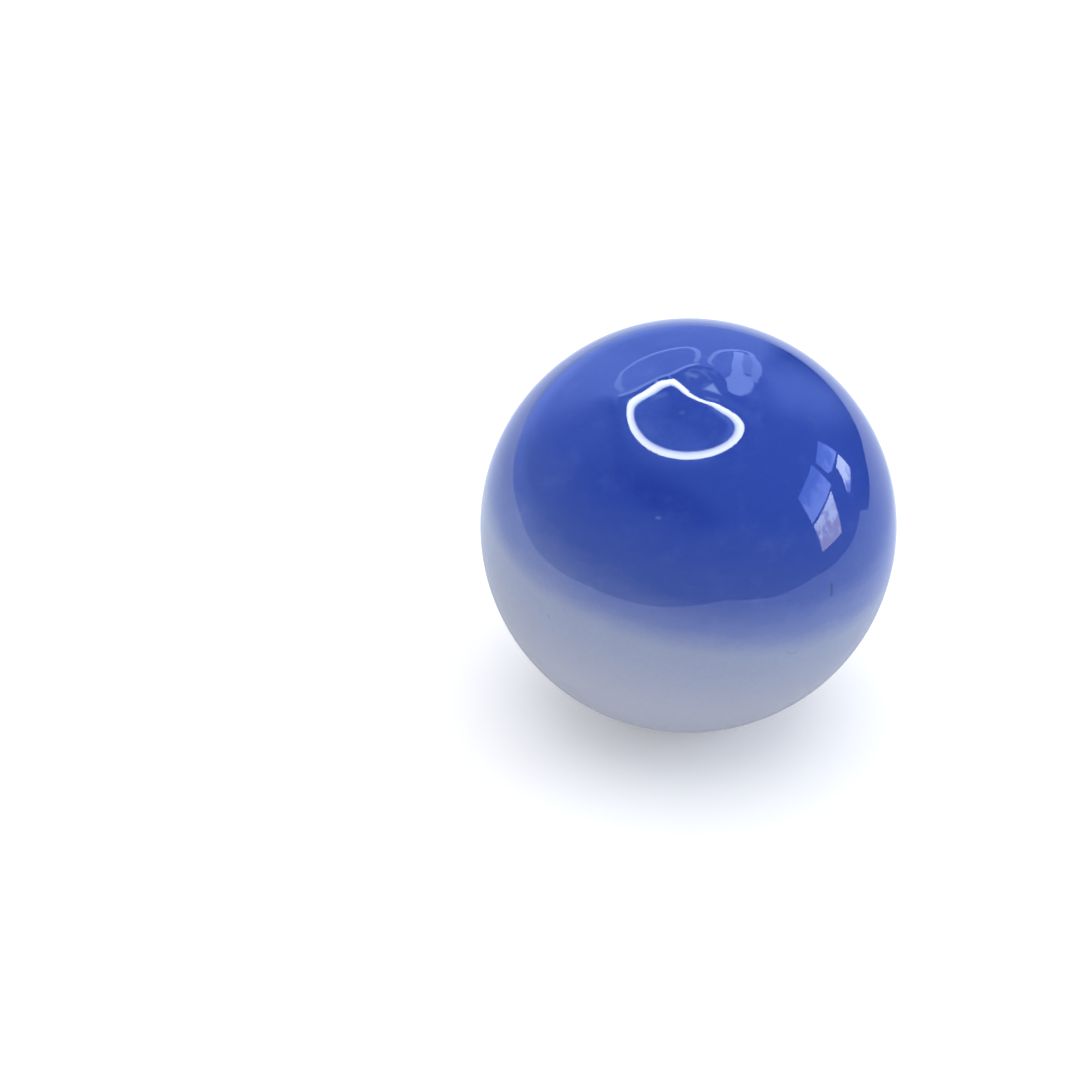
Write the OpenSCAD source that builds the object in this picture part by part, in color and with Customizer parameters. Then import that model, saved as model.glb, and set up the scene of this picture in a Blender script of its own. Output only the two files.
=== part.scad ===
// Glass marble: one solid ball of opal glass, deep blue above and milky below.
// The origin is the centre of the ball. +Z is up, and -Z is where it touches what it lies on.

/* [Ball] */
// Diameter of the ball
ball_d = 25; // [12:0.5:50]

/* [Cut-off mark] */
// Width of the flattened spot where the hot glass was sheared from its rod
mark_d = 3.2; // [1:0.1:6]
// Depth that the spot dishes in below its own rim
mark_dish = 0.02; // [0.01:0.01:0.1]
// Lean of the spot from straight up, in degrees
mark_lean = 20; // [0:1:180]
// Turn of the spot round the ball, in degrees from the right (+X) towards the back (+Y)
mark_turn = -86; // [-180:1:180]

/* [Hidden] */
$fn = 180;
ball_r = ball_d / 2;
mark_r = mark_d / 2;
// Height of the spot's rim above the centre of the ball, along the spot's own axis
rim_h = sqrt(ball_r * ball_r - mark_r * mark_r);
// Radius of the sphere that passes through the rim and the bottom of the dish
dish_r = (mark_r * mark_r + mark_dish * mark_dish) / (2 * mark_dish);

// Sphere that cuts the spot, with its lowest point at the bottom of the dish
module dish_cutter() {
    rotate([0, mark_lean, mark_turn])
        translate([0, 0, rim_h - mark_dish + dish_r])
            sphere(r = dish_r);
}

// The whole marble. The blue and the milky glass are fused into one solid, so it has one colour here.
module glass_marble() {
    color("royalblue")
        difference() {
            sphere(d = ball_d);
            dish_cutter();
        }
}

glass_marble();
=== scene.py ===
"""Glass marble: a ball of opal glass, deep blue above and milky below, on a white sheet."""
import math

import bmesh
import bpy
from bpy.props import FloatProperty, FloatVectorProperty, PointerProperty
from mathutils import Matrix, Vector, noise
from mathutils.geometry import intersect_point_line


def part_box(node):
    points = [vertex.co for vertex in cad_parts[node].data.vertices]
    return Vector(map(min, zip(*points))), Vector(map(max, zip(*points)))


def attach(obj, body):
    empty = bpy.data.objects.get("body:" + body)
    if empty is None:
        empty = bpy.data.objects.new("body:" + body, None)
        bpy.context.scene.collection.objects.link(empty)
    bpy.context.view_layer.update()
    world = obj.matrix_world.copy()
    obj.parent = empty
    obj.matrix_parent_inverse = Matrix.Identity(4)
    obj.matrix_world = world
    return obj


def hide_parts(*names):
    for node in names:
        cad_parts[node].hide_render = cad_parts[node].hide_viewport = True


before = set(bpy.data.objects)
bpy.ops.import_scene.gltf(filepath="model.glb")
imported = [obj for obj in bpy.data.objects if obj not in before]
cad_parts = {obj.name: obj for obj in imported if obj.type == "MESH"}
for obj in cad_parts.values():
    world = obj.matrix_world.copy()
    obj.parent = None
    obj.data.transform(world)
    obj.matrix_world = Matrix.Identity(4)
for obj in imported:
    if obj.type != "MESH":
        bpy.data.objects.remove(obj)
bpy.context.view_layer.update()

bl_info = {
    "name": "Glass Marble",
    "version": (1, 0, 0),
    "blender": (4, 5, 0),
    "location": "View3D > Sidebar > Marble",
    "description": "Builds an opal glass marble and the small studio it stands in",
    "category": "Add Mesh",
}

MM = 0.001
BALL_BOTTOM, BALL_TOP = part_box("glass_marble")
BALL_R = (BALL_TOP.z - BALL_BOTTOM.z) / 2


def srgb(hex_colour):
    """Turns a six-digit sRGB hex value into a linear colour with full alpha."""
    channels = [int(hex_colour[i:i + 2], 16) / 255 for i in (0, 2, 4)]
    linear = [c / 12.92 if c <= 0.04045 else ((c + 0.055) / 1.055) ** 2.4 for c in channels]
    return (*linear, 1.0)


def per_mm(size):
    """Scale of a pattern whose features are this many millimetres across."""
    return 1 / (size * MM)


def from_pole(lean, turn):
    """Unit vector that leans from straight up, turned from +X towards +Y. Both are in degrees."""
    lean, turn = math.radians(lean), math.radians(turn)
    return Vector((math.sin(lean) * math.cos(turn), math.sin(lean) * math.sin(turn), math.cos(lean)))


def towards(azimuth, elevation):
    """Unit vector to a place in the room. Azimuth 0 is straight back (+Y), and 90 is to the right (+X)."""
    azimuth, elevation = math.radians(azimuth), math.radians(elevation)
    flat = math.cos(elevation)
    return Vector((math.sin(azimuth) * flat, math.cos(azimuth) * flat, math.sin(elevation)))


def smooth_step(value, low, high):
    """0 below low, 1 above high, and a smooth rise between them."""
    share = min(1.0, max(0.0, (value - low) / (high - low)))
    return share * share * (3 - 2 * share)


def colour_property(name, description, hex_colour):
    """A colour that a user can change, with its default in linear light."""
    return FloatVectorProperty(
        name=name, description=description, subtype="COLOR", size=4, min=0, max=1, default=srgb(hex_colour)
    )


def length_property(name, description, millimetres):
    """A length that a user can change. Its default is given in millimetres."""
    return FloatProperty(
        name=name, description=description, subtype="DISTANCE", unit="LENGTH", precision=5,
        default=millimetres * MM,
    )


class MarbleGlassSettings(bpy.types.PropertyGroup):
    """Colours of the glass from the foot up, and where each lies."""

    milky: colour_property("Milky", "Milky grey-blue glass in the lower part", "B2B6C9")
    pale_blue: colour_property("Pale blue", "Milky glass that the blue has just begun to tint", "98A3C2")
    haze: colour_property("Haze", "Where the blue and the milky glass have mixed", "6C7DB9")
    dusk_blue: colour_property("Dusk blue", "Blue glass with a little milk in it", "485EAE")
    deep_blue: colour_property("Deep blue", "Cobalt blue glass in the upper part", "334EAD")
    milky_level: length_property("Milky level", "Height above the middle where the glass is all milky", -4.5)
    pale_level: length_property("Pale level", "Height above the middle where the tint sets in", 0.6)
    haze_level: length_property("Haze level", "Height above the middle where the two have mixed", 2.2)
    dusk_level: length_property("Dusk level", "Height above the middle where the blue has taken over", 4.2)
    deep_level: length_property("Deep level", "Height above the middle where the glass is all blue", 8.0)
    cloudiness: length_property("Cloudiness", "How far clouds push the blue up and down", 2.0)
    graininess: length_property("Graininess", "How far fine grain pushes the blue up and down", 0.9)
    wisp_rise: length_property("Wisp rise", "How far the wisp lifts the milk into the blue", 0.8)


class MarbleShapeSettings(bpy.types.PropertyGroup):
    """How far the real ball is from a true sphere."""

    waviness: length_property("Waviness", "Height of the slow waves that rolling left on the ball", 0.004)
    wave_length: length_property("Wave length", "Distance between those waves", 6.0)
    crinkle: length_property("Crinkle", "Height of the fine wrinkles inside the cut-off mark", 0.003)


class MarbleStageSettings(bpy.types.PropertyGroup):
    """The white sheet and the lights."""

    sheet_colour: colour_property("Sheet", "White paper that the ball stands on", "F4F5F7")
    lamp_height: length_property("Lamp height", "Height of the ring lamp above the ball", 750)
    lamp_radius: length_property("Lamp radius", "Radius of the ring lamp's tube circle", 354)
    lamp_tube: length_property("Lamp tube", "Radius of the ring lamp's tube", 23)


# ---------------------------------------------------------------- shape

# Swells and hollows that shearing the hot glass and rolling it left around the cut-off mark.
# Each has a lean and a turn in degrees, a spread in millimetres and a height in millimetres. All of these
# numbers are the rounded result of a least-squares program, not values chosen by hand.
SWELLS = {
    "front_ridge": (28.9, -93.0, 1.04, 0.147),
    "side_hollow": (23.0, -51.6, 1.58, -0.190),
    "left_swell": (31.7, -130.7, 1.44, 0.039),
    "left_knob": (31.4, -137.7, 0.60, 0.061),
    "left_ridge": (18.8, -116.0, 0.72, 0.029),
    "left_dimple": (26.1, -122.8, 0.60, -0.012),
    "rim_knob": (22.0, -101.7, 0.60, 0.022),
}

# The cut-off mark: a shallow dish with a crisp rim, wrinkled where the shears closed. The pale mottles on
# the wrinkles and the pale chip glint in it are painted highlights, where the rough glass catches the lamp.
# Its place, radius, depth and rim are a result of the same least-squares program.
MARK = from_pole(20.2, -86.0)
MARK_R = 1.53 * MM
MARK_DEPTH = 0.04 * MM
MARK_RIM = 0.12
WRINKLES = from_pole(17, -84)
WRINKLES_R = 1.1 * MM
WRINKLE_SIZE = 0.6 * MM
# Corners of the chip glint, a pale triangle painted in as a highlight, and its soft edge and paleness.
CHIP_GLINT_CORNERS = [from_pole(19.2, -75), from_pole(22.2, -85.6), from_pole(24.9, -71.1)]
CHIP_GLINT_EDGE = 0.22 * MM
CHIP_GLINT_PALE = 0.40
# The mottles on the wrinkles are painted highlights: how pale, how large and how widespread they are.
MOTTLE_GLINT_PALE = 0.16
MOTTLE_GLINT_SIZE = 0.5 * MM
MOTTLE_GLINT_SPREAD = 0.15

# Marks of use: each a line of (lean, turn) points, its half width and depth in millimetres, and how dark it
# has become. A negative darkness is pale. A program worked out the angles of these marks, and of the chip
# glint, the specks and glints, the streak and the wisp, and some were then moved.
FLAWS = {
    "scratch": ([(79.3, -48.9), (82.3, -48.9)], 0.17, 0.012, 0.44),
    "bruise": ([(95.6, -61.7), (96.1, -60.9), (96.5, -59.4), (96.4, -58.5)], 0.16, 0.004, 0.08),
    "pale_speck": ([(57.7, -98.6), (57.7, -97.8)], 0.13, 0.004, -0.19),
    "pit_left": ([(91.4, -126.3), (91.7, -126.3)], 0.12, 0.008, 0.22),
    "pit_low": ([(87.3, -121.2), (87.5, -121.2)], 0.11, 0.007, 0.15),
}

# Faint pale marks in and around the cut-off mark: each a line of (lean, turn) points, its half width in
# millimetres and how pale it is. The three glints in the mark and on its rim are painted highlights; the
# rest are pale specks on the skin.
SPECKS_AND_GLINTS = {
    # Painted highlights: the glint and swirl in the mark and the glint on its rim.
    "mark_glint": ([(17.1, -94), (17.8, -89)], 0.24, 0.09),
    "mark_swirl_glint": ([(16.9, -97.4), (15.2, -93), (15.3, -85), (17, -79), (18.6, -77)], 0.16, 0.07),
    "rim_glint": ([(25.1, -82), (25.9, -76)], 0.18, 0.12),
    "left_speck": ([(25.3, -107), (26.8, -112)], 0.30, 0.09),
    "middle_speck": ([(30.3, -95.5), (30.2, -94.5)], 0.20, 0.08),
    "low_speck": ([(36.6, -107), (34.5, -111)], 0.50, 0.04),
    "side_speck": ([(31.6, -56.5), (32.4, -57)], 0.20, 0.08),
}

# A mark of use, a speck or a painted glint reaches no further than this from where its line begins.
FLAW_REACH = 2 * MM

# A streak of purer blue below the cut-off mark, and a wisp where milk reaches up into the blue at the left.
# Each has a centre, a turn in degrees and half its length, width and thickness in millimetres.
INK_STREAK = (from_pole(52.6, -96.5), (0, 15, -21), (5.2, 1.5, 1.5))
MILK_WISP = (from_pole(68.5, -135), (0, 24, -59), (5.5, 3.0, 3.0))

# How often the ball's faces are split: all over, and again in the cut-off mark and round each mark of use.
BALL_SPLITS = 7
MARK_SPLITS = 2
FLAW_SPLITS = 3
MARK_PATCH = 2.6 * MM
FLAW_MARGIN = 0.35


def patch_round(path, half_width):
    """A patch of finer faces that just holds one line of (lean, turn) points: its centre, how far it reaches
    and how often its faces are split. The half width is in millimetres."""
    centre = from_pole(*path[len(path) // 2])
    reach = max((from_pole(*point) - centre).length for point in path) * BALL_R
    return centre, reach + (half_width + FLAW_MARGIN) * MM, FLAW_SPLITS


# These patches don't overlap, so no face is split more often than it should be.
FINE_PATCHES = [(MARK, MARK_PATCH, MARK_SPLITS)]
FINE_PATCHES += [patch_round(path, half_width) for path, half_width, _, _ in FLAWS.values()]


def inside_by(direction, corners):
    """How far inside a small flat shape on the ball this direction is, in metres. Negative is outside."""
    edges = zip(corners, corners[1:] + corners[:1])
    return min(direction.dot(a.cross(b).normalized()) for a, b in edges) * BALL_R


def line_gap(direction, path):
    """Distance from this direction's place on the ball to a line of (lean, turn) points, in metres."""
    points = [from_pole(lean, turn) for lean, turn in path]
    gaps = []
    for start, end in zip(points, points[1:]):
        _, along = intersect_point_line(direction, start, end)
        gaps.append((direction - start.lerp(end, min(1.0, max(0.0, along)))).length)
    return min(gaps) * BALL_R


def wrinkled_here(direction):
    """1 in the wrinkled part of the cut-off mark and 0 outside it, with a smooth edge."""
    return 1 - smooth_step((direction - WRINKLES).length * BALL_R, 0.6 * WRINKLES_R, WRINKLES_R)


def mark_relief(direction, shape):
    """Height of the cut-off mark here, with its wrinkles, in metres."""
    share = 1 - ((direction - MARK).length * BALL_R / MARK_R) ** 2
    height = -MARK_DEPTH * MARK_RIM * math.log1p(math.exp(share / MARK_RIM))
    return height + wrinkled_here(direction) * shape.crinkle * noise.noise(direction * BALL_R / WRINKLE_SIZE)


def relief(direction, shape):
    """How far the surface stands proud of a true sphere in this direction, in metres."""
    height = shape.waviness * noise.noise(direction * BALL_R / shape.wave_length)
    for lean, turn, spread, swell in SWELLS.values():
        gap = (direction - from_pole(lean, turn)).length * BALL_R / MM
        height += swell * MM * math.exp(-gap * gap / (2 * spread * spread))
    if (direction - MARK).length * BALL_R < 2 * MARK_R:
        height += mark_relief(direction, shape)
    return height


def flaw_here(direction):
    """Depth of any mark of use here in metres, and how dark it is. Negative is pale, as are painted
    highlights.
    """
    depth = 0.0
    # A pale chip glint in the cut-off mark: a painted highlight.
    dark = -CHIP_GLINT_PALE * smooth_step(inside_by(direction, CHIP_GLINT_CORNERS), 0, CHIP_GLINT_EDGE)
    # Pale mottles on the wrinkles: painted highlights where the rough glass catches the lamp.
    glint_mottle = max(0.0, MOTTLE_GLINT_SPREAD + noise.noise(direction * BALL_R / MOTTLE_GLINT_SIZE))
    dark -= MOTTLE_GLINT_PALE * wrinkled_here(direction) * glint_mottle
    # Pale specks, and the painted highlights in and on the rim of the cut-off mark.
    for path, half_width, paleness in SPECKS_AND_GLINTS.values():
        if (direction - from_pole(*path[0])).length * BALL_R < FLAW_REACH:
            dark -= paleness * (1 - smooth_step(line_gap(direction, path), 0, half_width * MM))
    for path, half_width, deep, darkness in FLAWS.values():
        if (direction - from_pole(*path[0])).length * BALL_R > FLAW_REACH:
            continue
        share = 1 - smooth_step(line_gap(direction, path), 0, half_width * MM)
        depth += share * deep * MM
        dark += share * darkness
    return depth, dark


def refine(ball, centre, reach, passes):
    """Splits the faces around one place, so that small shapes there have enough of them."""
    for _ in range(passes):
        near = [
            edge for edge in ball.edges
            if all((end.co.normalized() - centre).length * BALL_R < reach for end in edge.verts)
        ]
        bmesh.ops.subdivide_edges(ball, edges=near, cuts=1, use_grid_fill=True)


def build_ball(shape):
    """The marble's mesh: a fine ball of triangles, pushed in and out by its relief."""
    ball = bmesh.new()
    bmesh.ops.create_icosphere(ball, subdivisions=BALL_SPLITS, radius=BALL_R)
    for centre, reach, passes in FINE_PATCHES:
        refine(ball, centre, reach, passes)
    bmesh.ops.triangulate(ball, faces=ball.faces)
    # This layer holds dark marks of use, pale specks, and the painted highlights in the cut-off mark.
    stain_and_glint = ball.verts.layers.float.new("stain_and_glint")
    for vertex in ball.verts:
        direction = vertex.co.normalized()
        depth, vertex[stain_and_glint] = flaw_here(direction)
        vertex.co = direction * (BALL_R + relief(direction, shape) - depth)
    for face in ball.faces:
        face.smooth = True
    return ball


# ---------------------------------------------------------------- materials


def add_node(tree, kind, inputs=None, **settings):
    """Adds one node. An input given as a socket is linked, and any other is set as a value."""
    node = tree.nodes.new(kind)
    for name, value in settings.items():
        setattr(node, name, value)
    for key, value in (inputs or {}).items():
        if isinstance(value, bpy.types.NodeSocket):
            tree.links.new(value, node.inputs[key])
        else:
            node.inputs[key].default_value = value
    return node


def new_material(name):
    """An empty material and its node tree."""
    material = bpy.data.materials.new(name)
    material.use_nodes = True
    material.node_tree.nodes.clear()
    return material, material.node_tree


def soft_spot(tree, place, spot):
    """A share that is 1 in the heart of a long soft spot in the glass and 0 outside it."""
    centre, turn, size = spot
    inside = add_node(tree, "ShaderNodeMapping", vector_type="TEXTURE", inputs={
        "Vector": place, "Location": centre * BALL_R, "Rotation": [math.radians(angle) for angle in turn],
        "Scale": [half * MM for half in size]}).outputs["Vector"]
    reach = add_node(tree, "ShaderNodeVectorMath", operation="LENGTH", inputs={0: inside}).outputs["Value"]
    return add_node(tree, "ShaderNodeMapRange", interpolation_type="SMOOTHSTEP", inputs={
        "Value": reach, "From Min": 0.15, "From Max": 1.0, "To Min": 1.0, "To Max": 0.0}).outputs["Result"]


# The blue comes lower on the right and in front, so the glass's levels are measured along this line.
LEVEL_LINE = Vector((0.147, -0.095, 1.0))

# Clouds in the glass are this many millimetres across, flattened to a third and turned a little, in radians.
# They shift the colours least in the pale glass and most in the deep blue.
CLOUD_SIZE = 5
CLOUD_FLATNESS = 3
CLOUD_TURN = (0.1, 0.15, 0)
LOW_CLOUDS = 0.25
HIGH_CLOUDS = 2

# Fine grain and faint smudges, with their sizes in millimetres and how far they shift the colour.
GRAIN_SIZE = 0.25
SPECKLE = 0.04
SMUDGE_SIZE = 1.6
SMUDGE_PALE = 0.04

# Shades of the purer blue streak, of dark marks of use, and of pale ones: pale specks and smudges, and the
# painted highlights in the cut-off mark.
INK_BLUE = srgb("22399E")
INK_SHARE = 0.55
STAIN_NAVY = srgb("1A2450")
PALE_AND_GLINT_WHITE = srgb("A9C4FF")


def opal_glass(glass):
    """Opal glass, gathered hot, rolled round and fire-polished. It is cloudy all through, so light sinks in a
    little and comes back soft, under a clear glossy skin that mirrors the room."""
    material, tree = new_material("opal_glass")
    place = add_node(tree, "ShaderNodeTexCoord").outputs["Object"]
    level = add_node(tree, "ShaderNodeVectorMath", operation="DOT_PRODUCT",
                     inputs={0: place, 1: LEVEL_LINE}).outputs["Value"]
    stretched = add_node(tree, "ShaderNodeMapping", inputs={
        "Vector": place, "Rotation": CLOUD_TURN, "Scale": (1, 1, CLOUD_FLATNESS)}).outputs["Vector"]
    clouds = add_node(tree, "ShaderNodeTexNoise", inputs={
        "Vector": stretched, "Scale": per_mm(CLOUD_SIZE), "Detail": 6.0, "Roughness": 0.6}).outputs["Fac"]
    reach = add_node(tree, "ShaderNodeMapRange", inputs={
        "Value": level, "From Min": glass.pale_level, "From Max": glass.deep_level,
        "To Min": LOW_CLOUDS * glass.cloudiness, "To Max": HIGH_CLOUDS * glass.cloudiness}).outputs["Result"]
    centred = add_node(tree, "ShaderNodeMath", operation="SUBTRACT", inputs={0: clouds, 1: 0.5}).outputs[0]
    cloudy = add_node(tree, "ShaderNodeMath", operation="MULTIPLY_ADD",
                      inputs={0: centred, 1: reach, 2: level}).outputs[0]
    grain = add_node(tree, "ShaderNodeTexNoise", inputs={
        "Vector": place, "Scale": per_mm(GRAIN_SIZE), "Detail": 2.0, "Roughness": 0.6}).outputs["Fac"]
    grainy = add_node(tree, "ShaderNodeMath", operation="MULTIPLY_ADD",
                      inputs={0: grain, 1: glass.graininess, 2: cloudy}).outputs[0]
    wispy = add_node(tree, "ShaderNodeMath", operation="MULTIPLY_ADD", inputs={
        0: soft_spot(tree, place, MILK_WISP), 1: -glass.wisp_rise, 2: grainy}).outputs[0]
    low, high = glass.milky_level, glass.deep_level
    share = add_node(tree, "ShaderNodeMapRange", inputs={
        "Value": wispy, "From Min": low + glass.graininess / 2, "From Max": high + glass.graininess / 2})
    ramp = add_node(tree, "ShaderNodeValToRGB", inputs={"Fac": share.outputs["Result"]})
    stops = [(low, glass.milky), (glass.pale_level, glass.pale_blue), (glass.haze_level, glass.haze),
             (glass.dusk_level, glass.dusk_blue), (high, glass.deep_blue)]
    for _ in stops[1:-1]:
        ramp.color_ramp.elements.new(0.5)
    for element, (height, colour) in zip(ramp.color_ramp.elements, stops):
        element.position = (height - low) / (high - low)
        element.color = colour
    inky = add_node(tree, "ShaderNodeMath", operation="MULTIPLY", inputs={
        0: soft_spot(tree, place, INK_STREAK), 1: INK_SHARE}).outputs[0]
    speckle = add_node(tree, "ShaderNodeMapRange", inputs={
        "Value": grain, "From Min": 0.25, "From Max": 0.75,
        "To Min": 1 - SPECKLE, "To Max": 1 + SPECKLE}).outputs["Result"]
    speckled = add_node(tree, "ShaderNodeVectorMath", operation="SCALE", inputs={
        0: ramp.outputs["Color"], "Scale": speckle}).outputs["Vector"]
    blue = add_node(tree, "ShaderNodeMix", data_type="RGBA", inputs={
        "Factor": inky, "A": speckled, "B": INK_BLUE}).outputs["Result"]
    # The stain darkens marks of use, and pales specks and the painted highlights of the cut-off mark.
    stain_and_glint = add_node(tree, "ShaderNodeAttribute", attribute_name="stain_and_glint").outputs["Fac"]
    dark = add_node(tree, "ShaderNodeMix", data_type="RGBA", inputs={
        "Factor": stain_and_glint, "A": blue, "B": STAIN_NAVY}).outputs["Result"]
    smudges = add_node(tree, "ShaderNodeTexNoise", inputs={
        "Vector": place, "Scale": per_mm(SMUDGE_SIZE), "Detail": 4.0, "Roughness": 0.6}).outputs["Fac"]
    smudge = add_node(tree, "ShaderNodeMapRange", interpolation_type="SMOOTHSTEP", inputs={
        "Value": smudges, "From Min": 0.5, "From Max": 0.8, "To Max": SMUDGE_PALE}).outputs["Result"]
    # Paler where smudges and specks are, and where highlights are painted in the cut-off mark.
    pale_and_glint = add_node(tree, "ShaderNodeMath", operation="SUBTRACT", inputs={0: smudge, 1: stain_and_glint}).outputs[0]
    colour = add_node(tree, "ShaderNodeMix", data_type="RGBA", inputs={
        "Factor": pale_and_glint, "A": dark, "B": PALE_AND_GLINT_WHITE}).outputs["Result"]
    shader = add_node(tree, "ShaderNodeBsdfPrincipled", subsurface_method="RANDOM_WALK", inputs={
        "Base Color": colour, "Roughness": 0.03, "IOR": 1.5,
        "Subsurface Weight": 0.3, "Subsurface Radius": (1.0, 1.0, 1.0), "Subsurface Scale": 1.0 * MM})
    add_node(tree, "ShaderNodeOutputMaterial", inputs={"Surface": shader.outputs["BSDF"]})
    return material


def mirrored_paper():
    """The same paper as the glass mirrors it: shaded close under the ball, bluer and brighter close by on the
    window's side, pale behind, and brighter again far to the left."""
    left_shade, right_shade, far_shade = srgb("D6DAE4"), srgb("C4D6FF"), srgb("D6E2FA")
    shaded, open_light = 0.5, 1.3
    left_boost, right_boost = 1.25, 0.38
    material, tree = new_material("mirrored_paper")
    place = add_node(tree, "ShaderNodeTexCoord").outputs["Object"]
    across = add_node(tree, "ShaderNodeSeparateXYZ", inputs={0: place}).outputs["X"]
    rightward = add_node(tree, "ShaderNodeMapRange", interpolation_type="SMOOTHSTEP", inputs={
        "Value": across, "From Min": -20 * MM, "From Max": 60 * MM}).outputs["Result"]
    near = add_node(tree, "ShaderNodeMix", data_type="RGBA", inputs={
        "Factor": rightward, "A": left_shade, "B": right_shade}).outputs["Result"]
    depth = add_node(tree, "ShaderNodeVectorMath", operation="DOT_PRODUCT", inputs={
        0: place, 1: (-0.5, 1.0, 0)}).outputs["Value"]
    behind = add_node(tree, "ShaderNodeMapRange", interpolation_type="SMOOTHSTEP", inputs={
        "Value": depth, "From Min": -5 * MM, "From Max": 40 * MM}).outputs["Result"]
    colour = add_node(tree, "ShaderNodeMix", data_type="RGBA", inputs={
        "Factor": behind, "A": near, "B": far_shade}).outputs["Result"]
    from_foot = add_node(tree, "ShaderNodeVectorMath", operation="DISTANCE", inputs={
        0: place, 1: (0, 0, -BALL_R)}).outputs["Value"]
    lit = add_node(tree, "ShaderNodeMapRange", interpolation_type="SMOOTHSTEP", inputs={
        "Value": from_foot, "From Max": 42 * MM, "To Min": shaded, "To Max": open_light}).outputs["Result"]
    leftward = add_node(tree, "ShaderNodeVectorMath", operation="DOT_PRODUCT", inputs={
        0: place, 1: (-1.0, -0.7, 0)}).outputs["Value"]
    far_left = add_node(tree, "ShaderNodeMapRange", interpolation_type="SMOOTHSTEP", inputs={
        "Value": leftward, "From Min": 60 * MM, "From Max": 200 * MM, "To Min": 1.0, "To Max": left_boost})
    left_lit = add_node(tree, "ShaderNodeMath", operation="MULTIPLY", inputs={
        0: lit, 1: far_left.outputs["Result"]}).outputs[0]
    close_gain = add_node(tree, "ShaderNodeMapRange", interpolation_type="SMOOTHSTEP", inputs={
        "Value": from_foot, "From Min": 30 * MM, "From Max": 50 * MM, "To Min": right_boost, "To Max": 0.0})
    right_gain = add_node(tree, "ShaderNodeMath", operation="MULTIPLY_ADD", inputs={
        0: rightward, 1: close_gain.outputs["Result"], 2: 1.0}).outputs[0]
    strength = add_node(tree, "ShaderNodeMath", operation="MULTIPLY", inputs={
        0: left_lit, 1: right_gain}).outputs[0]
    shader = add_node(tree, "ShaderNodeEmission", inputs={"Color": colour, "Strength": strength})
    add_node(tree, "ShaderNodeOutputMaterial", inputs={"Surface": shader.outputs["Emission"]})
    return material


def white_paper(colour, lift):
    """Uncoated white paper: matt and even. The lift brightens what the camera sees, and lights nothing."""
    material, tree = new_material("white_paper")
    to_camera = add_node(tree, "ShaderNodeLightPath").outputs["Is Camera Ray"]
    strength = add_node(tree, "ShaderNodeMath", operation="MULTIPLY",
                        inputs={0: to_camera, 1: lift}).outputs[0]
    shader = add_node(tree, "ShaderNodeBsdfPrincipled", inputs={
        "Base Color": tuple(colour), "Roughness": 1.0, "Specular IOR Level": 0.0,
        "Emission Color": tuple(colour), "Emission Strength": strength})
    add_node(tree, "ShaderNodeOutputMaterial", inputs={"Surface": shader.outputs["BSDF"]})
    return material


def glow(name, colour, strength):
    """An evenly lit surface in the room."""
    material, tree = new_material(name)
    shader = add_node(tree, "ShaderNodeEmission", inputs={"Color": colour, "Strength": strength})
    add_node(tree, "ShaderNodeOutputMaterial", inputs={"Surface": shader.outputs["Emission"]})
    return material


def view_glow(name, bright, dull, strength, bright_height, dull_height, patch_size, patchiness):
    """What shows through a window pane: bright at one height and dull at another, in patches of light. The
    heights, the patch size and how far patches shift the heights are in metres."""
    material, tree = new_material(name)
    place = add_node(tree, "ShaderNodeTexCoord").outputs["Object"]
    up = add_node(tree, "ShaderNodeSeparateXYZ", inputs={0: place}).outputs["Z"]
    patches = add_node(tree, "ShaderNodeTexNoise", inputs={
        "Vector": place, "Scale": 1 / patch_size, "Detail": 3.0, "Roughness": 0.6}).outputs["Fac"]
    shift = add_node(tree, "ShaderNodeMapRange", inputs={
        "Value": patches, "From Min": 0.3, "From Max": 0.7, "To Min": -patchiness, "To Max": patchiness})
    height = add_node(tree, "ShaderNodeMath", operation="ADD",
                      inputs={0: up, 1: shift.outputs["Result"]}).outputs[0]
    share = add_node(tree, "ShaderNodeMapRange", interpolation_type="SMOOTHSTEP", inputs={
        "Value": height, "From Min": bright_height, "From Max": dull_height}).outputs["Result"]
    colour = add_node(tree, "ShaderNodeMix", data_type="RGBA", inputs={
        "Factor": share, "A": bright, "B": dull}).outputs["Result"]
    shader = add_node(tree, "ShaderNodeEmission", inputs={"Color": colour, "Strength": strength})
    add_node(tree, "ShaderNodeOutputMaterial", inputs={"Surface": shader.outputs["Emission"]})
    return material


# Where the ring lamp hangs, left and behind the ball's middle, how bright its tube is underneath and on its
# flanks, and its shade. Its height was chosen. Its place and radii for that height came from the same
# program as the swells.
LAMP_CENTRE = (-0.038, 0.031)
TUBE_BRIGHT = 23.0
TUBE_FLANK = 0.5
TUBE_WHITE = srgb("EEF6FF")

# The lamp's bloom: how far it reaches from the tube in metres and how bright it is, then where the narrow
# bloom just inside the tube begins and is full, and how bright that is.
BLOOM_REACH = 0.19
BLOOM = 1.5
INNER_BLOOM_FROM = 0.045
INNER_BLOOM_FULL = 0.022
INNER_BLOOM = 2.5
BLOOM_BLUE = srgb("8DB5FF")


def tube_glow(height, radius):
    """A fluorescent tube, brightest along its underside and fading up its flanks."""
    material, tree = new_material("tube_glow")
    place = add_node(tree, "ShaderNodeTexCoord").outputs["Object"]
    up = add_node(tree, "ShaderNodeSeparateXYZ", inputs={0: place}).outputs["Z"]
    strength = add_node(tree, "ShaderNodeMapRange", inputs={
        "Value": up, "From Min": height - radius, "From Max": height + radius / 2,
        "To Min": TUBE_BRIGHT, "To Max": TUBE_FLANK}).outputs["Result"]
    shader = add_node(tree, "ShaderNodeEmission", inputs={"Color": TUBE_WHITE, "Strength": strength})
    add_node(tree, "ShaderNodeOutputMaterial", inputs={"Surface": shader.outputs["Emission"]})
    return material


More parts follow.
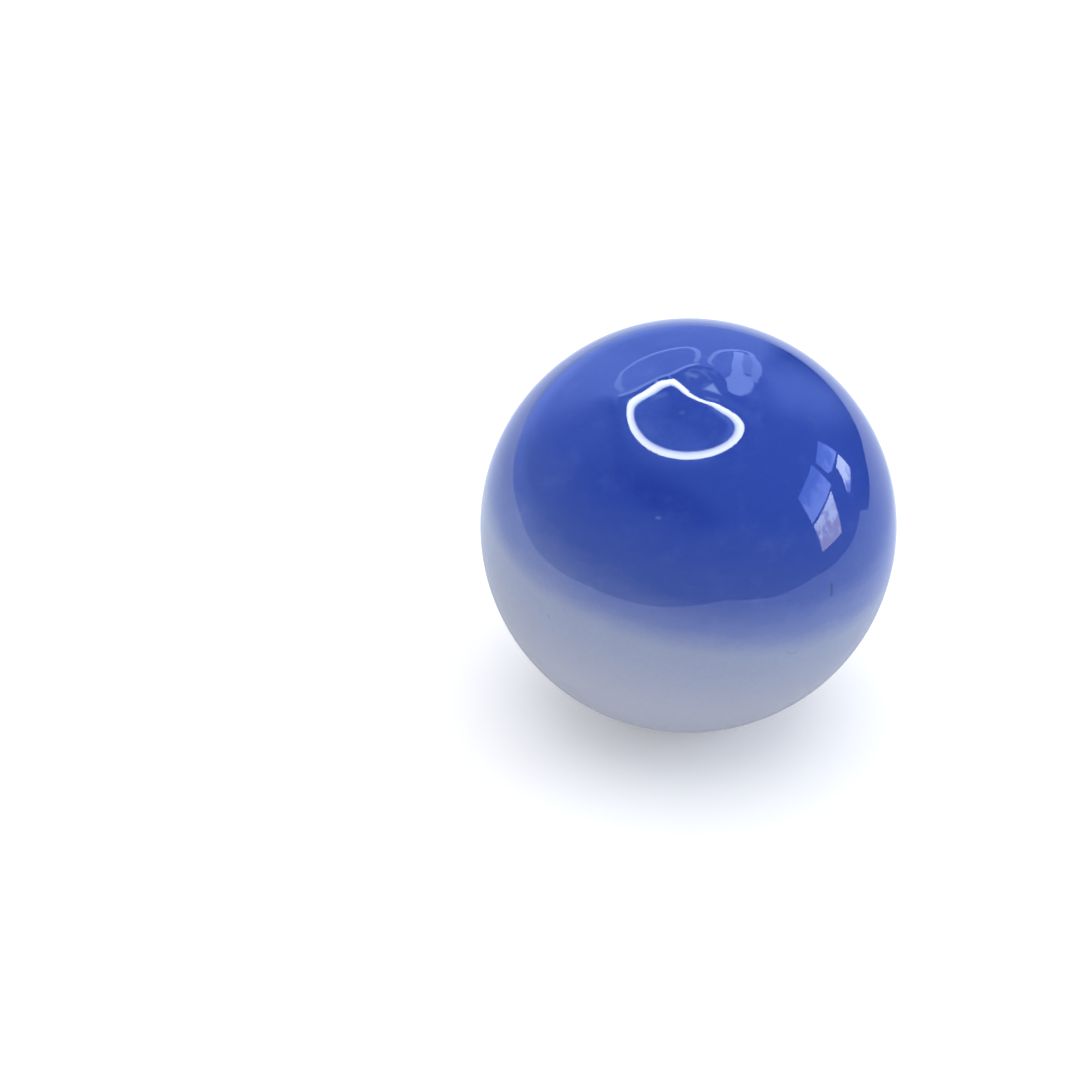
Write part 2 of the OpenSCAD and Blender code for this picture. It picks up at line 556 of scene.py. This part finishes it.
def halo_glow(centre, radius):
    """The faint bloom round the ring lamp: wide on its left and front, and narrow inside it on its right. It
    hides nothing behind it."""
    material, tree = new_material("halo_glow")
    place = add_node(tree, "ShaderNodeTexCoord").outputs["Object"]
    from_centre = add_node(tree, "ShaderNodeVectorMath", operation="DISTANCE", inputs={
        0: place, 1: centre}).outputs["Value"]
    off_tube = add_node(tree, "ShaderNodeMath", operation="SUBTRACT",
                        inputs={0: from_centre, 1: radius}).outputs[0]
    gap = add_node(tree, "ShaderNodeMath", operation="ABSOLUTE", inputs={0: off_tube}).outputs[0]
    close = add_node(tree, "ShaderNodeMapRange", interpolation_type="SMOOTHSTEP", inputs={
        "Value": gap, "From Max": BLOOM_REACH, "To Min": BLOOM, "To Max": 0.0}).outputs["Result"]
    left_front = add_node(tree, "ShaderNodeVectorMath", operation="DOT_PRODUCT", inputs={
        0: place, 1: (-0.8, -0.6, 0)}).outputs["Value"]
    side = add_node(tree, "ShaderNodeMapRange", interpolation_type="SMOOTHSTEP", inputs={
        "Value": left_front, "From Min": -0.05, "From Max": 0.15}).outputs["Result"]
    outer = add_node(tree, "ShaderNodeMath", operation="MULTIPLY", inputs={0: close, 1: side}).outputs[0]
    just_inside = add_node(tree, "ShaderNodeMapRange", interpolation_type="SMOOTHSTEP", inputs={
        "Value": off_tube, "From Min": -INNER_BLOOM_FROM, "From Max": -INNER_BLOOM_FULL,
        "To Max": INNER_BLOOM}).outputs["Result"]
    inside = add_node(tree, "ShaderNodeMath", operation="LESS_THAN", inputs={0: off_tube, 1: 0.0}).outputs[0]
    inner = add_node(tree, "ShaderNodeMath", operation="MULTIPLY",
                     inputs={0: just_inside, 1: inside}).outputs[0]
    across = add_node(tree, "ShaderNodeSeparateXYZ", inputs={0: place}).outputs["X"]
    right = add_node(tree, "ShaderNodeMapRange", interpolation_type="SMOOTHSTEP", inputs={
        "Value": across, "From Min": 0.14, "From Max": 0.3}).outputs["Result"]
    strength = add_node(tree, "ShaderNodeMath", operation="MULTIPLY_ADD", inputs={
        0: inner, 1: right, 2: outer}).outputs[0]
    bloom = add_node(tree, "ShaderNodeEmission", inputs={"Color": BLOOM_BLUE, "Strength": strength})
    clear = add_node(tree, "ShaderNodeBsdfTransparent")
    shader = add_node(tree, "ShaderNodeAddShader", inputs={0: bloom.outputs[0], 1: clear.outputs[0]})
    add_node(tree, "ShaderNodeOutputMaterial", inputs={"Surface": shader.outputs[0]})
    return material


def band(tree, rising, rise, falling, fall):
    """A share that rises over a span of one value and falls over a span of another. Spans are in degrees."""
    up = add_node(tree, "ShaderNodeMapRange", interpolation_type="SMOOTHSTEP", inputs={
        "Value": rising, "From Min": math.radians(rise[0]), "From Max": math.radians(rise[1])})
    down = add_node(tree, "ShaderNodeMapRange", interpolation_type="SMOOTHSTEP", inputs={
        "Value": falling, "From Min": math.radians(fall[0]), "From Max": math.radians(fall[1]),
        "To Min": 1.0, "To Max": 0.0})
    return add_node(tree, "ShaderNodeMath", operation="MULTIPLY",
                    inputs={0: up.outputs["Result"], 1: down.outputs["Result"]}).outputs[0]


# Where the painted walls are lit, in degrees: azimuths where each begins and ends, elevations where it
# begins and ends, and its share of the full brightness. Each of the four is a span that it fades over.
WALLS = {
    "back": ((-75, -46), (8.5, 16.5), (-20, -19), (57.0, 57.6), 1.0),
    "low_left": ((-60, -35), (-8, 4), (-20, -19), (9, 18), 0.42),
    "low_far_left": ((-100, -80), (-66, -50), (-20, -19), (3, 8), 0.45),
    "left": ((-112, -84), (-72, -54), (-20, -19), (46, 58), 0.28),
    "right": ((15, 40), (42, 70), (-10, 10), (42, 58), 0.97),
    "far_right": ((55, 72), (90, 110), (-20, -19), (20, 40), 0.18),
    "alcove": ((-14, 4), (60, 85), (57.4, 58.2), (61, 64), 0.3),
}

# The back wall's right end leans by this much, and its azimuths above are the ones at elevation 0. The right
# wall's foot climbs by this much past this azimuth, in degrees. A least-squares program gave the right wall's
# end, its foot and this climb. The other walls were set one by one.
END_LEAN = 0.35
FOOT_CLIMB = 0.83
FOOT_CLIMB_FROM = 30

# How bright a wall is low down and high up, and a factor for its left and its right part, each with the span
# of elevation or azimuth in degrees over which it changes.
WALL_BLUE = srgb("98B2FF")
UPPER_SPAN, UPPER_LIGHT = (12, 50), (1.25, 2.6)
SIDE_SPAN, SIDE_LIGHT = (-30, -16), (1.15, 0.87)


def room_glow():
    """Painted walls by daylight, brighter towards their top and left. The rest of the room is in shade."""
    material, tree = new_material("painted_wall")
    place = add_node(tree, "ShaderNodeTexCoord").outputs["Object"]
    direction = add_node(tree, "ShaderNodeVectorMath", operation="NORMALIZE", inputs={0: place}).outputs[0]
    axes = add_node(tree, "ShaderNodeSeparateXYZ", inputs={0: direction}).outputs
    azimuth = add_node(tree, "ShaderNodeMath", operation="ARCTAN2",
                       inputs={0: axes["X"], 1: axes["Y"]}).outputs[0]
    elevation = add_node(tree, "ShaderNodeMath", operation="ARCSINE", inputs={0: axes["Z"]}).outputs[0]
    leaning = add_node(tree, "ShaderNodeMath", operation="MULTIPLY_ADD",
                       inputs={0: elevation, 1: -END_LEAN, 2: azimuth}).outputs[0]
    past = add_node(tree, "ShaderNodeMath", operation="SUBTRACT",
                    inputs={0: azimuth, 1: math.radians(FOOT_CLIMB_FROM)}).outputs[0]
    beyond = add_node(tree, "ShaderNodeMath", operation="MAXIMUM", inputs={0: past, 1: 0.0}).outputs[0]
    climbing = add_node(tree, "ShaderNodeMath", operation="MULTIPLY_ADD",
                        inputs={0: beyond, 1: -FOOT_CLIMB, 2: elevation}).outputs[0]
    lit = 0.0
    for name, (begin, end, foot, top, share) in WALLS.items():
        across = band(tree, azimuth, begin, leaning if name == "back" else azimuth, end)
        upright = band(tree, climbing if name == "right" else elevation, foot, elevation, top)
        wall = add_node(tree, "ShaderNodeMath", operation="MULTIPLY",
                        inputs={0: across, 1: upright}).outputs[0]
        lit = add_node(tree, "ShaderNodeMath", operation="MULTIPLY_ADD",
                       inputs={0: wall, 1: share, 2: lit}).outputs[0]
    upward = add_node(tree, "ShaderNodeMapRange", inputs={
        "Value": elevation, "From Min": math.radians(UPPER_SPAN[0]), "From Max": math.radians(UPPER_SPAN[1]),
        "To Min": UPPER_LIGHT[0], "To Max": UPPER_LIGHT[1]}).outputs["Result"]
    sideways = add_node(tree, "ShaderNodeMapRange", interpolation_type="SMOOTHSTEP", inputs={
        "Value": azimuth, "From Min": math.radians(SIDE_SPAN[0]), "From Max": math.radians(SIDE_SPAN[1]),
        "To Min": SIDE_LIGHT[0], "To Max": SIDE_LIGHT[1]}).outputs["Result"]
    brightness = add_node(tree, "ShaderNodeMath", operation="MULTIPLY",
                          inputs={0: upward, 1: sideways}).outputs[0]
    strength = add_node(tree, "ShaderNodeMath", operation="MULTIPLY",
                        inputs={0: lit, 1: brightness}).outputs[0]
    shader = add_node(tree, "ShaderNodeEmission", inputs={"Color": WALL_BLUE, "Strength": strength})
    add_node(tree, "ShaderNodeOutputMaterial", inputs={"Surface": shader.outputs["Emission"]})
    return material


# ---------------------------------------------------------------- stage

# Distances in the room, in metres. What hangs in front of something else is nearer.
FLOOR_R = 8.0
WALL_DISTANCE = 3.0
SWEEP_DISTANCE = 2.6
MOULDING_DISTANCE = 2.4
VEIL_DISTANCE = 2.35
PANEL_DISTANCE = 2.3
HOOP_DISTANCE = 2.2
WINDOW_DISTANCE = 2.0

# How far the mirrored sheet lies above the floor, and how many steps a round thing has.
SHEET_LIFT = 0.05 * MM
ROUND_STEPS = 96

# Full radii of the moulding and of the hoops and brackets, in metres.
MOULDING_R = 0.042
HOOP_R = 0.03

# The white sheet's edge as (x, y) in metres. It is uneven in front, and a dark wedge cuts in on the right.
SHEET_EDGE = [
    (-1.2, 1.2), (-0.42, 0.33), (-0.34, 0.19), (-0.19, 0.03), (-0.13, 0), (-0.095, -0.018), (-0.075, -0.035),
    (-0.058, -0.057), (-0.01, -0.072), (0.037, -0.1), (0.057, -0.06), (0.096, -0.041), (0.1, -0.023),
    (0.145, 0.012), (0.22, 0.046), (0.5, 0.157), (0.147, 0.062), (0.24, 0.15), (1.0, 0.83), (6.0, 6.5),
    (-6.0, 6.5),
]

# The window's azimuth and elevation, and its panes' corners in metres on a card there that faces the ball.
WINDOW_AT = (85, 12)
FRONT_UPPER_PANE = [(-0.01, 0.68), (0.74, 0.61), (0.73, 0.08), (-0.07, 0.2)]
FRONT_LOWER_PANE = [(0.01, 0.16), (0.72, 0.03), (0.70, -0.45), (0.15, -0.42)]
REAR_UPPER_PANE = [(-0.56, 0.68), (-0.11, 0.62), (-0.16, 0.35), (-0.25, 0.29), (-0.69, 0.28)]
REAR_LOWER_PANE = [
    (-0.69, 0.24), (-0.43, 0.23), (-0.40, 0.06), (-0.32, -0.11), (-0.39, -0.17), (-0.74, -0.05),
]

# Lines in the room, as (azimuth, elevation, share of the full radius): the moulding on top of the back wall,
# two short brackets above it, and two pale hoops that hang in front of the walls. A program worked out most
# points of the lines and shapes in the room, the panes and the sheet, and some were then moved.
MOULDING = [
    (-53, 56.6, 0.8), (-45, 57.5, 0.8), (-30, 57.6, 0.8), (-16, 57.1, 0.9), (-10, 56.6, 1.1), (-3, 56.4, 1.6),
    (1, 55.9, 1.8), (4.5, 54.9, 1.4), (7.5, 54.2, 1),
]
LEFT_BRACKET = [(-33, 58, 1), (-35, 60, 1)]
RIGHT_BRACKET = [(-15, 58, 1), (-16, 60, 1)]
LEFT_HOOP = [
    (-45, 55, 0.6), (-41, 51, 0.65), (-37, 44, 0.9), (-34.5, 40.8, 1), (-27.5, 39.3, 1), (-20, 38.3, 1),
    (-10, 37.4, 1), (-2, 37.3, 1), (1, 40, 1.2), (3.4, 46, 1.4), (3.4, 51.5, 1.3),
]
RIGHT_HOOP = [
    (17.5, 52.7, 0.6), (12.6, 50.6, 1), (11.2, 46.4, 1.2), (10.9, 42, 1.2), (11.8, 38.6, 1.2),
    (13.9, 36, 1.2), (16, 33.4, 1.1), (18.4, 32.4, 1), (22, 36, 1), (27.6, 41.7, 1.3), (32, 47.2, 1.25),
    (34.7, 50.4, 0.6), (36.2, 52, 0.4),
]

# Flat shapes in the room, as (azimuth, elevation): a pale panel in the right hoop, a fainter veil beside it,
# and a pale sweep round the horizon.
HOOP_PANEL = [
    (15.6, 37), (23.5, 48), (30.5, 52.6), (31.8, 53.7), (30.4, 56.3), (32.5, 56.6), (35.9, 55.8),
    (37.3, 55.2), (37.9, 54.5), (37.3, 53.2), (36.6, 52.4), (34.9, 51), (34.4, 51.8), (32.6, 51.2),
    (26, 46.4), (18.2, 35),
]
HOOP_VEIL = [(18.3, 36), (26, 46.4), (32.6, 51.2), (34.9, 51), (32, 47.6), (27, 42.3), (21.5, 36)]
SWEEP = [
    (-78, -7), (-62, -2.5), (-45, 1), (-25, 5.5), (0, 6.2), (7, 5.5), (14, 3.9), (22, 1.9), (30, 0.9),
    (38, -0.1), (45, -0.6), (56, -3), (68, -7), (68, -25), (-78, -25),
]

# Shade of the hoops, their panel and the moulding, and of the sweep.
PAINT_BLUE = srgb("A8C2FF")
SWEEP_BLUE = srgb("C4D8FF")

# The camera is in front and above, at this elevation in degrees. It is aimed down and left by these angles,
# which a program worked out together with the lens, in millimetres.
CAMERA_RISE = 31
CAMERA_DISTANCE = 8 * BALL_R
CAMERA_DOWN = 31.635
CAMERA_LEFT = 5.944
CAMERA_LENS = 54.67
SENSOR_WIDTH = 36.0

# How brightly the pale room lights the scene, and how bright it looks behind the ball.
ROOM_LIGHT = 0.66
BACKDROP = 0.93


def finish_mesh(name, shape, material):
    """Turns a bmesh into an object at the origin, with one material."""
    mesh = bpy.data.meshes.new(name)
    shape.to_mesh(mesh)
    shape.free()
    mesh.materials.append(material)
    piece = bpy.data.objects.new(name, mesh)
    bpy.context.scene.collection.objects.link(piece)
    return piece


def only_in_gloss(piece):
    """Keeps a stage piece out of everything but reflections."""
    piece.visible_camera = False
    piece.visible_diffuse = False
    piece.visible_transmission = False
    piece.visible_volume_scatter = False
    piece.visible_shadow = False
    return piece


def facing_card(azimuth, elevation, distance):
    """Matrix of an upright card that faces the ball from this place in the room."""
    forward = towards(azimuth, elevation)
    right = forward.cross(Vector((0, 0, 1))).normalized()
    up = right.cross(forward)
    return Matrix((right, up, forward)).transposed().to_4x4() @ Matrix.Translation((0, 0, distance))


def outline_card(name, card, corners, material):
    """A flat shape on a card, from its corners in metres."""
    shape = bmesh.new()
    shape.faces.new([shape.verts.new((x, y, 0)) for x, y in corners])
    bmesh.ops.transform(shape, matrix=card, verts=shape.verts)
    return only_in_gloss(finish_mesh(name, shape, material))


def build_floor(stage):
    """The floor disc, which the camera sees, and the white sheet, which only reflections see."""
    disc = bmesh.new()
    bmesh.ops.create_circle(disc, cap_ends=True, segments=ROUND_STEPS, radius=FLOOR_R)
    bmesh.ops.translate(disc, verts=disc.verts, vec=(0, 0, -BALL_R))
    floor = finish_mesh("floor", disc, white_paper(stage.sheet_colour, lift=0.25))
    floor.visible_glossy = False
    sheet = bmesh.new()
    sheet.faces.new([sheet.verts.new((x, y, -BALL_R + SHEET_LIFT)) for x, y in SHEET_EDGE])
    only_in_gloss(finish_mesh("sheet", sheet, mirrored_paper()))


def build_ring_lamp(stage):
    """The round tube lamp overhead, which draws the bright loop on the glass, and its bloom just above it."""
    lamp = bmesh.new()
    section = bmesh.ops.create_circle(lamp, segments=16, radius=stage.lamp_tube)["verts"]
    bmesh.ops.rotate(lamp, verts=section, matrix=Matrix.Rotation(math.pi / 2, 3, "X"))
    bmesh.ops.translate(lamp, verts=section, vec=(stage.lamp_radius, 0, 0))
    bmesh.ops.spin(lamp, geom=lamp.verts[:] + lamp.edges[:], axis=(0, 0, 1), angle=2 * math.pi,
                   steps=ROUND_STEPS, use_merge=True)
    bmesh.ops.recalc_face_normals(lamp, faces=lamp.faces)
    bmesh.ops.translate(lamp, verts=lamp.verts, vec=(*LAMP_CENTRE, stage.lamp_height))
    only_in_gloss(finish_mesh("ring_lamp", lamp, tube_glow(stage.lamp_height, stage.lamp_tube)))
    centre = Vector((*LAMP_CENTRE, stage.lamp_height + 2 * stage.lamp_tube))
    halo = bmesh.new()
    bmesh.ops.create_circle(halo, cap_ends=True, segments=ROUND_STEPS,
                            radius=stage.lamp_radius + BLOOM_REACH)
    bmesh.ops.translate(halo, verts=halo.verts, vec=centre)
    only_in_gloss(finish_mesh("lamp_halo", halo, halo_glow(centre, stage.lamp_radius)))


def build_window():
    """Four panes of daylight to the right: two above, two below."""
    card = facing_card(*WINDOW_AT, WINDOW_DISTANCE)
    sky = view_glow("sky_glow", bright=srgb("9AB2FF"), dull=srgb("6680D0"), strength=7.2,
                    bright_height=0.6, dull_height=1.0, patch_size=0.22, patchiness=0.2)
    yard = view_glow("yard_glow", bright=srgb("DEEBFF"), dull=srgb("AAA0A4"), strength=9.0,
                     bright_height=0.5, dull_height=0.1, patch_size=0.16, patchiness=0.3)
    lawn = view_glow("lawn_glow", bright=srgb("DEEBFF"), dull=srgb("6E7CB4"), strength=9.0,
                     bright_height=0.48, dull_height=0.30, patch_size=0.16, patchiness=0.08)
    outline_card("pane_front_upper", card, FRONT_UPPER_PANE, sky)
    outline_card("pane_front_lower", card, FRONT_LOWER_PANE, yard)
    outline_card("pane_rear_upper", card, REAR_UPPER_PANE, sky)
    outline_card("pane_rear_lower", card, REAR_LOWER_PANE, lawn)


def room_shape(name, outline, distance, material):
    """A flat-looking shape in the room, from the (azimuth, elevation) of its corners."""
    shape = bmesh.new()
    shape.faces.new([shape.verts.new(towards(*corner) * distance) for corner in outline])
    return only_in_gloss(finish_mesh(name, shape, material))


def room_line(name, path, distance, radius, material):
    """A bright moulding in the room: a tube along a smooth line of (azimuth, elevation, share of the full
    radius) points."""
    curve = bpy.data.curves.new(name, "CURVE")
    curve.dimensions = "3D"
    curve.bevel_depth = radius
    spline = curve.splines.new("BEZIER")
    spline.bezier_points.add(len(path) - 1)
    for point, (azimuth, elevation, share) in zip(spline.bezier_points, path):
        point.co = towards(azimuth, elevation) * distance
        point.radius = share
        point.handle_left_type = point.handle_right_type = "AUTO"
    curve.materials.append(material)
    piece = bpy.data.objects.new(name, curve)
    bpy.context.scene.collection.objects.link(piece)
    return only_in_gloss(piece)


def build_room():
    """What the glass mirrors behind the ball: walls, a moulding along their top, two hoops and a sweep."""
    shell = bmesh.new()
    bmesh.ops.create_icosphere(shell, subdivisions=4, radius=WALL_DISTANCE)
    only_in_gloss(finish_mesh("room_walls", shell, room_glow()))
    frames = glow("hoop_glow", PAINT_BLUE, 4.3)
    edging = glow("moulding_glow", PAINT_BLUE, 5.5)
    room_line("moulding", MOULDING, MOULDING_DISTANCE, MOULDING_R, edging)
    room_line("left_bracket", LEFT_BRACKET, MOULDING_DISTANCE, HOOP_R, edging)
    room_line("right_bracket", RIGHT_BRACKET, MOULDING_DISTANCE, HOOP_R, edging)
    room_line("left_hoop", LEFT_HOOP, HOOP_DISTANCE, HOOP_R, frames)
    room_line("right_hoop", RIGHT_HOOP, HOOP_DISTANCE, HOOP_R, frames)
    room_shape("right_hoop_panel", HOOP_PANEL, PANEL_DISTANCE, glow("panel_glow", PAINT_BLUE, 5.3))
    room_shape("right_hoop_veil", HOOP_VEIL, VEIL_DISTANCE, glow("veil_glow", PAINT_BLUE, 3.2))
    room_shape("pale_sweep", SWEEP, SWEEP_DISTANCE, glow("sweep_glow", SWEEP_BLUE, 1.2))


def area_light(name, azimuth, elevation, distance, size, power, colour):
    """A soft round light that faces the ball and isn't mirrored in it."""
    data = bpy.data.lights.new(name, "AREA")
    data.shape = "DISK"
    data.size = size
    data.energy = power
    data.color = colour
    light = bpy.data.objects.new(name, data)
    bpy.context.scene.collection.objects.link(light)
    direction = towards(azimuth, elevation)
    light.location = direction * distance
    light.rotation_mode = "QUATERNION"
    light.rotation_quaternion = direction.to_track_quat("Z", "Y")
    light.visible_camera = False
    light.visible_glossy = False


def build_lights():
    """Soft overhead light, soft light from the window's side, and a pale room."""
    area_light("overhead_softbox", azimuth=0, elevation=88, distance=0.9, size=1.2, power=4.6,
               colour=(1, 1, 1))
    area_light("window_light", azimuth=85, elevation=25, distance=1.5, size=0.8, power=3.6,
               colour=(0.75, 0.87, 1))
    world = bpy.data.worlds.new("pale_room")
    world.use_nodes = True
    tree = world.node_tree
    tree.nodes.clear()
    to_camera = add_node(tree, "ShaderNodeLightPath").outputs["Is Camera Ray"]
    strength = add_node(tree, "ShaderNodeMapRange", inputs={
        "Value": to_camera, "To Min": ROOM_LIGHT, "To Max": BACKDROP}).outputs["Result"]
    back = add_node(tree, "ShaderNodeBackground", inputs={"Color": srgb("FFFFFF"), "Strength": strength})
    add_node(tree, "ShaderNodeOutputWorld", inputs={"Surface": back.outputs["Background"]})
    bpy.context.scene.world = world
    world.cycles_visibility.glossy = False


def build_camera():
    """A camera close to the ball, from the front and above, aimed a little to its left."""
    data = bpy.data.cameras.new("camera")
    data.sensor_width = SENSOR_WIDTH
    data.lens = CAMERA_LENS
    data.clip_start = 1 * MM
    camera = bpy.data.objects.new("camera", data)
    bpy.context.scene.collection.objects.link(camera)
    camera.location = towards(180, CAMERA_RISE) * CAMERA_DISTANCE
    camera.rotation_euler = (math.radians(90 - CAMERA_DOWN), 0, math.radians(CAMERA_LEFT))
    bpy.context.scene.camera = camera
    bpy.context.scene.view_settings.view_transform = "Standard"


class MARBLE_OT_ball(bpy.types.Operator):
    """Builds the opal glass ball"""

    bl_idname = "marble.ball"
    bl_label = "Glass ball"

    def execute(self, context):
        scene = context.scene
        ball = finish_mesh("opal_ball", build_ball(scene.marble_shape), opal_glass(scene.marble_glass))
        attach(ball, "root")
        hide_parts("glass_marble")
        return {"FINISHED"}


class MARBLE_OT_stage(bpy.types.Operator):
    """Builds the floor, the lights and the camera"""

    bl_idname = "marble.stage"
    bl_label = "Stage"

    def execute(self, context):
        stage = context.scene.marble_stage
        build_floor(stage)
        build_ring_lamp(stage)
        build_window()
        build_room()
        build_lights()
        build_camera()
        return {"FINISHED"}


class MARBLE_PT_panel(bpy.types.Panel):
    """Sizes and colours of the marble, and its buttons"""

    bl_label = "Glass marble"
    bl_space_type = "VIEW_3D"
    bl_region_type = "UI"
    bl_category = "Marble"

    def draw(self, context):
        for settings in (context.scene.marble_glass, context.scene.marble_shape, context.scene.marble_stage):
            for name in settings.__annotations__:
                self.layout.prop(settings, name)
        self.layout.operator(MARBLE_OT_ball.bl_idname)
        self.layout.operator(MARBLE_OT_stage.bl_idname)


CLASSES = (
    MarbleGlassSettings, MarbleShapeSettings, MarbleStageSettings,
    MARBLE_OT_ball, MARBLE_OT_stage, MARBLE_PT_panel,
)


def register():
    for cls in CLASSES:
        bpy.utils.register_class(cls)
    bpy.types.Scene.marble_glass = PointerProperty(type=MarbleGlassSettings)
    bpy.types.Scene.marble_shape = PointerProperty(type=MarbleShapeSettings)
    bpy.types.Scene.marble_stage = PointerProperty(type=MarbleStageSettings)


def unregister():
    del bpy.types.Scene.marble_stage
    del bpy.types.Scene.marble_shape
    del bpy.types.Scene.marble_glass
    for cls in reversed(CLASSES):
        bpy.utils.unregister_class(cls)


def main():
    """Builds the marble and its stage."""
    register()
    bpy.ops.marble.ball()
    bpy.ops.marble.stage()


if __name__ == "__main__":
    main()
